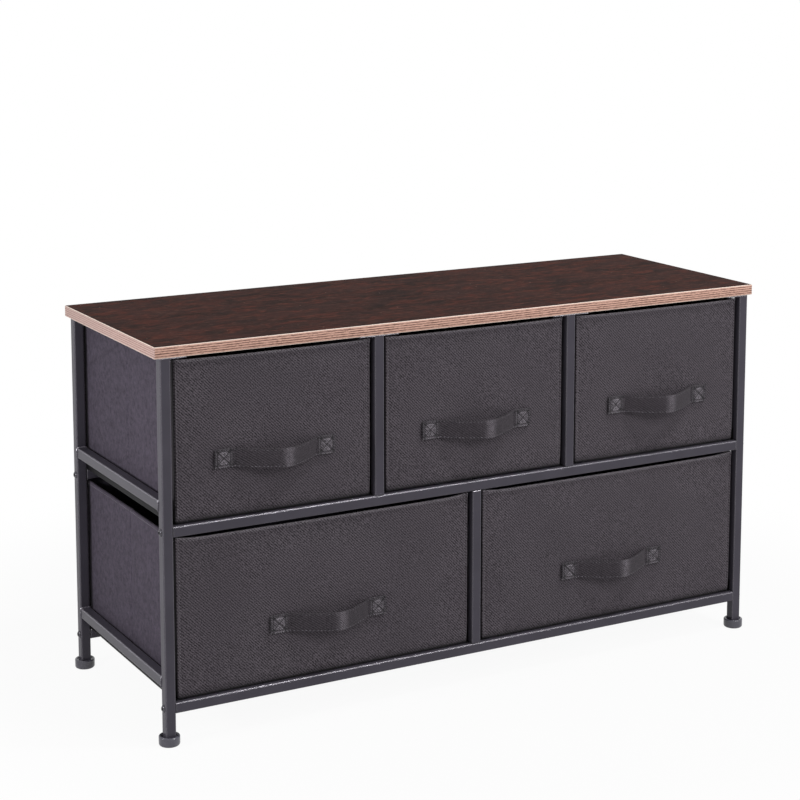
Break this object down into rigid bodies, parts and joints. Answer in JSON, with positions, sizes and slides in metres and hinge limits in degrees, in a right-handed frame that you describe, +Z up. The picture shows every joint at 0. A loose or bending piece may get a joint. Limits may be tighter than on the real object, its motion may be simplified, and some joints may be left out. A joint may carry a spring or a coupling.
{
  "type": "fabric drawer dresser",
  "caption": "Wide low dresser: wood-look board on a bolted black steel-tube frame with five soft fabric drawers, pulled by stitched strap handles.",
  "frame": {"origin": "centre of the bounding box in plan, on the floor under the feet", "axes": "+X to the right as seen from the front, +Y to the back, +Z up; the drawers open towards -Y"},
  "size_m": [1, 0.3746, 0.555],
  "materials": {
    "laminate": "satin laminate with a dark rustic grain",
    "powder_coat": "dark grey powder coat, satin",
    "runner_steel": "black painted sheet",
    "black_screw": "black oxide, glossy",
    "foot_plastic": "moulded, glossy",
    "drawer_fabric": "charcoal woven polyester over stiff board",
    "base_fabric": "charcoal non-woven cloth over stiff board",
    "strap_fabric": "folded and stitched charcoal cloth"
  },
  "bodies": {
    "frame": {"top_board": "laminate", "leg_front_left": "powder_coat", "rail_screw_middle_front_left": "black_screw", "rail_screw_bottom_front_left": "black_screw", "leg_front_right": "powder_coat", "rail_screw_middle_front_right": "black_screw", "rail_screw_bottom_front_right": "black_screw", "leg_back_left": "powder_coat", "rail_screw_middle_back_left": "black_screw", "rail_screw_bottom_back_left": "black_screw", "leg_back_right": "powder_coat", "rail_screw_middle_back_right": "black_screw", "rail_screw_bottom_back_right": "black_screw", "side_rail_middle_left": "powder_coat", "side_rail_bottom_left": "powder_coat", "side_rail_middle_right": "powder_coat", "side_rail_bottom_right": "powder_coat", "front_rail_middle": "powder_coat", "front_rail_bottom": "powder_coat", "upper_post_front_left": "powder_coat", "upper_post_screw_front_left": "black_screw", "upper_post_front_right": "powder_coat", "upper_post_screw_front_right": "black_screw", "lower_post_front": "powder_coat", "lower_post_screw_front": "black_screw", "back_rail_middle": "powder_coat", "back_rail_bottom": "powder_coat", "upper_post_back_left": "powder_coat", "upper_post_screw_back_left": "black_screw", "upper_post_back_right": "powder_coat", "upper_post_screw_back_right": "black_screw", "lower_post_back": "powder_coat", "lower_post_screw_back": "black_screw", "runner_upper_left": "runner_steel", "runner_upper_inner_left": "runner_steel", "runner_upper_inner_right": "runner_steel", "runner_upper_right": "runner_steel", "runner_lower_left": "runner_steel", "runner_lower_inner": "runner_steel", "runner_lower_right": "runner_steel"},
    "foot_front_left": {"foot_front_left": "foot_plastic"},
    "foot_front_right": {"foot_front_right": "foot_plastic"},
    "foot_back_left": {"foot_back_left": "foot_plastic"},
    "foot_back_right": {"foot_back_right": "foot_plastic"},
    "drawer_upper_left": {"drawer_box_upper_left": "drawer_fabric", "drawer_base_upper_left": "base_fabric", "drawer_strap_upper_left": "strap_fabric"},
    "drawer_upper_centre": {"drawer_box_upper_centre": "drawer_fabric", "drawer_base_upper_centre": "base_fabric", "drawer_strap_upper_centre": "strap_fabric"},
    "drawer_upper_right": {"drawer_box_upper_right": "drawer_fabric", "drawer_base_upper_right": "base_fabric", "drawer_strap_upper_right": "strap_fabric"},
    "drawer_lower_left": {"drawer_box_lower_left": "drawer_fabric", "drawer_base_lower_left": "base_fabric", "drawer_strap_lower_left": "strap_fabric"},
    "drawer_lower_right": {"drawer_box_lower_right": "drawer_fabric", "drawer_base_lower_right": "base_fabric", "drawer_strap_lower_right": "strap_fabric"}
  },
  "joints": [
    {"name": "foot_front_left_thread", "type": "hinge", "parent": "frame", "child": "foot_front_left", "pos_m": [-0.4845, -0.16043, 0], "axis": [0, 0, -1], "range_deg": [0, 2880]},
    {"name": "foot_front_right_thread", "type": "hinge", "parent": "frame", "child": "foot_front_right", "pos_m": [0.4845, -0.16043, 0], "axis": [0, 0, -1], "range_deg": [0, 2880]},
    {"name": "foot_back_left_thread", "type": "hinge", "parent": "frame", "child": "foot_back_left", "pos_m": [-0.4845, 0.17257, 0], "axis": [0, 0, -1], "range_deg": [0, 2880]},
    {"name": "foot_back_right_thread", "type": "hinge", "parent": "frame", "child": "foot_back_right", "pos_m": [0.4845, 0.17257, 0], "axis": [0, 0, -1], "range_deg": [0, 2880]},
    {"name": "drawer_upper_left_slide", "type": "slide", "parent": "frame", "child": "drawer_upper_left", "axis": [0, -1, 0], "range_m": [0, 0.3]},
    {"name": "drawer_upper_centre_slide", "type": "slide", "parent": "frame", "child": "drawer_upper_centre", "axis": [0, -1, 0], "range_m": [0, 0.3]},
    {"name": "drawer_upper_right_slide", "type": "slide", "parent": "frame", "child": "drawer_upper_right", "axis": [0, -1, 0], "range_m": [0, 0.3]},
    {"name": "drawer_lower_left_slide", "type": "slide", "parent": "frame", "child": "drawer_lower_left", "axis": [0, -1, 0], "range_m": [0, 0.3]},
    {"name": "drawer_lower_right_slide", "type": "slide", "parent": "frame", "child": "drawer_lower_right", "axis": [0, -1, 0], "range_m": [0, 0.3]}
  ]
}
